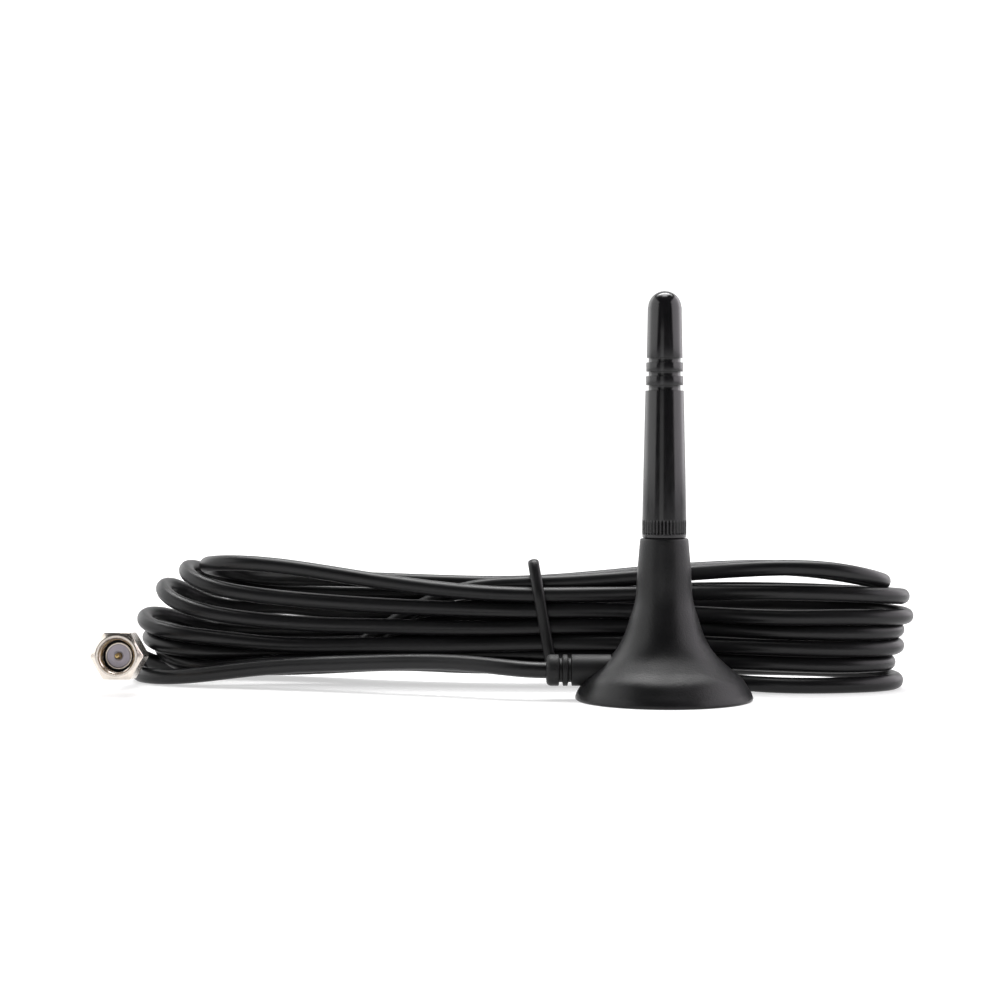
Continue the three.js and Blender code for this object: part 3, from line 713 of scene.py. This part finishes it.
def shrink():
    """Heat-shrink sleeve that narrows from the crimp down to the cable, slightly wrinkled at the step."""
    back = -NUT_LENGTH
    outer = through([(2.4, back - 5, 0), (2.42, back - 6.5, 0), (2.4, back - 8.4, 0), (2.15, back - 9.2, 0),
                     (1.82, back - 10.1, 0), (1.74, back - 11, 0), (1.75, back - 12.9, 0)], 6)
    outline = [(2.16, back - 5), *[(p[0], p[1]) for p in outer], (1.7, back - 13), (1.46, back - 13),
               (1.46, back - 8.5), (2.16, back - 8.5), (2.16, back - 5)]

    def wrinkled(r, z, angle):
        near = math.exp(-((z - back + 9.3) / 0.9) ** 2)
        return r + 0.035 * near * math.sin(5 * angle + 2 * z) if r > 1.73 else r

    return turned("shrink", outline, 72, PLUG, wrinkled)


PLUG_PIECES = [
    finish_piece(barrel(), "base", "nickel", "plug_body"),
    finish_piece(dielectric(), "base", "insulator", "plug_insulator"),
    finish_piece(pin(), "base", "gold", "centre_pin"),
    finish_piece(gasket(), "base", "rubber", "plug_gasket"),
    finish_piece(crimp(), "base", "nickel", "crimp_ferrule"),
    finish_piece(shrink(), "base", "rubber", "heat_shrink"),
]


# ---------- tie ----------
TIE_LEAN = math.radians(9.8)
TIE_WIDTH, TIE_THICK = 2.0 * MM, 0.5 * MM
TIE_CENTRE = centre_of("twist_tie")


def hull(points):
    """Convex outline of 2D points, counter-clockwise."""
    points = sorted(set(map(tuple, points)))

    def half(sequence):
        chain = []
        for p in sequence:
            while len(chain) > 1:
                (ax, ay), (bx, by) = chain[-2], chain[-1]
                if (bx - ax) * (p[1] - ay) - (by - ay) * (p[0] - ax) > 0:
                    break
                chain.pop()
            chain.append(p)
        return chain[:-1]

    return half(points) + half(reversed(points))


def tie_plane_x(z):
    """The tie leans: its top is further to the left than its foot."""
    return -20.3 * MM - (z - 13.5 * MM) * math.tan(TIE_LEAN)


def tie_path():
    """The tie's closed path, (y, z), tight round the strands that cross its plane, with slack at its top."""
    lead_end = 60  # points at the start of the line that pass in front of the tie
    slack = (TIE_CENTRE.y - 3.4 * MM, 21.2 * MM, 0.8 * MM)  # y, z and radius of the bow at its top
    wrapped = [slack]
    for x, y, z in LINE[lead_end:]:
        if abs(x - tie_plane_x(z)) < 0.6 * MM:
            wrapped.append((y, z, CABLE_D / 2))
    ring = [(y + (r + TIE_THICK / 2) * math.cos(a), z + (r + TIE_THICK / 2) * math.sin(a))
            for y, z, r in wrapped for a in np.linspace(0, 2 * math.pi, 24, endpoint=False)]
    outline = np.array(hull(ring) + [hull(ring)[0]])
    flat = evenly(np.hstack([outline, np.zeros((len(outline), 1))]), 0.5 * MM)[:-1, :2]
    for _ in range(3):
        flat = (np.roll(flat, 1, 0) + 2 * flat + np.roll(flat, -1, 0)) / 4
    return flat


# Half-width share and height share of the band's section: flat against the lead, rounded outside.
RIBBON = [(-1, -0.5), (-0.35, -0.5), (0.35, -0.5), (1, -0.5)]
RIBBON += [(math.cos(angle), 1.25 * math.sin(angle)) for angle in np.linspace(0, math.pi, 13)]


def sweep(name, frames, closed):
    """A ribbon through frames of (centre, across, outward)."""
    vertices = []
    for centre, across, outward in frames:
        for w, h in RIBBON:
            vertices.append(centre + across * (w * TIE_WIDTH / 2) + outward * (h * TIE_THICK))
    sides = len(RIBBON)
    count = len(frames)
    faces = []
    for f in range(count if closed else count - 1):
        low, high = f * sides, ((f + 1) % count) * sides
        for s in range(sides):
            t = (s + 1) % sides
            faces.append((low + s, low + t, high + t, high + s))
    if not closed:
        faces.append(tuple(range(sides)))
        faces.append(tuple(range((count - 1) * sides, count * sides)))
    return add_mesh(name, vertices, faces)


def tie_band(path):
    """The band, as one closed ribbon that leans with its plane."""
    frames = []
    count = len(path)
    across = Vector((math.cos(TIE_LEAN), 0, math.sin(TIE_LEAN)))
    for i, (y, z) in enumerate(path):
        before, after = path[i - 1], path[(i + 1) % count]
        along = Vector((tie_plane_x(after[1]) - tie_plane_x(before[1]), after[0] - before[0],
                        after[1] - before[1])).normalized()
        outward = along.cross(across).normalized()
        if outward.y * (y - TIE_CENTRE.y) + outward.z * (z - TIE_CENTRE.z) < 0:
            outward = -outward
        frames.append((Vector((tie_plane_x(z), y, z)), across, outward))
    return sweep("tie_band", frames, True)


def tie_twist(path):
    """The tie's two ends, twisted together and bent down against the back of the hank."""
    y, z = max(path, key=lambda p: p[0] + 0.3 * p[1])
    start = Vector((tie_plane_x(z), y + 0.5 * MM, z))
    frames = []
    steps, twists = 72, 3.2
    for i in range(steps + 1):
        share = i / steps
        angle = 2 * math.pi * twists * share
        centre = start + Vector((0.4 * MM * math.sin(4 * share), (1.1 * share - 0.6 * share ** 2) * 2.2 * MM,
                                 -11 * MM * share))
        across = Vector((math.cos(angle), math.sin(angle), 0))
        outward = Vector((-math.sin(angle), math.cos(angle), 0))
        frames.append((centre, across * (0.9 - 0.15 * share), outward))
    return sweep("tie_twist", frames, False)


TIE_PATH = tie_path()
tie = finish_piece(tie_band(TIE_PATH), "base", "tie_plastic", "twist_tie")
twist = finish_piece(tie_twist(TIE_PATH), "base", "tie_plastic")


# ---------- the cord --------------------
finish_piece(cable, "base", "cable_jacket", "cable_lead", "cable_hank", "cable_tail")


# ---------- studio ----------
def stage_material():
    """Matt white paper that glows a little, so that it stays pale where the lights don't reach."""
    material, bsdf, place = shader("studio_white", (0.5, 0.5, 0.5), 0.7, specular=0.1)
    patches = noise(material, place, 0.4, 2)
    tint(material, patches, (0.49, 0.49, 0.49), (0.51, 0.51, 0.51), bsdf.inputs["Base Color"])
    bsdf.inputs["Emission Color"].default_value = (1, 1, 1, 1)
    bsdf.inputs["Emission Strength"].default_value = 0.55
    return material


def studio_sweep():
    """A pale floor that curves up into a back wall."""
    half, front, bend, back, height = 4, -4, 0.5, 1.4, 1.6
    profile = [(front, 0), (back - bend, 0)]
    profile += [(back - bend + bend * math.sin(a), bend - bend * math.cos(a))
                for a in np.linspace(0.1, math.pi / 2, 14)]
    profile.append((back, height))
    vertices, faces = [], []
    for y, z in profile:
        vertices += [(-half, y, z), (half, y, z)]
    for i in range(len(profile) - 1):
        faces.append((2 * i, 2 * i + 1, 2 * i + 3, 2 * i + 2))
    sweep_piece = add_mesh("floor", vertices, faces)
    sweep_piece.data.materials.append(stage_material())


def softbox(name, place, aim, width, height, power, colour=(1, 1, 1)):
    """A rectangular light, sizes in metres and power in watts, which the camera doesn't see."""
    data = bpy.data.lights.new(name, "AREA")
    data.shape, data.size, data.size_y = "RECTANGLE", width, height
    data.energy, data.color = power, colour
    lamp = bpy.data.objects.new(name, data)
    lamp.location = place
    lamp.visible_camera = False
    lamp.rotation_mode = "QUATERNION"
    lamp.rotation_quaternion = (Vector(aim) - Vector(place)).to_track_quat("-Z", "Y")
    bpy.context.collection.objects.link(lamp)


def light_studio():
    """Long side lights for the whip's bands, lights above and behind for the lead's upper edges, and a
    small weak one in front that the plug's face reflects. The camera's side stays dark."""
    world = bpy.data.worlds.new("studio")
    world.use_nodes = True
    world.node_tree.nodes["Background"].inputs["Color"].default_value = (1, 1, 1, 1)
    world.node_tree.nodes["Background"].inputs["Strength"].default_value = 0.04
    bpy.context.scene.world = world
    bpy.context.scene.view_settings.view_transform = "Standard"
    middle = (0, 0, 0.04)
    softbox("softbox_left", (-0.62, 0.1, 0.32), middle, 1.4, 0.6, 4.6)
    softbox("softbox_right", (0.62, 0.06, 0.32), middle, 1.3, 0.6, 6, (1, 0.95, 1))
    softbox("softbox_top", (0, 0.3, 0.85), (0, 0.02, 0), 0.6, 0.3, 4.6)
    softbox("softbox_above", (0, 0.03, 0.8), middle, 0.3, 0.25, 1.7)
    softbox("softbox_plug", (-0.18, -0.5, 0.07), (-0.093, 0.02, 0.007), 0.2, 0.2, 0.1)
    softbox("backdrop_light", (0, 0.6, 1.3), (0, 1.2, 0.1), 1.6, 0.4, 16)


studio_sweep()
light_studio()
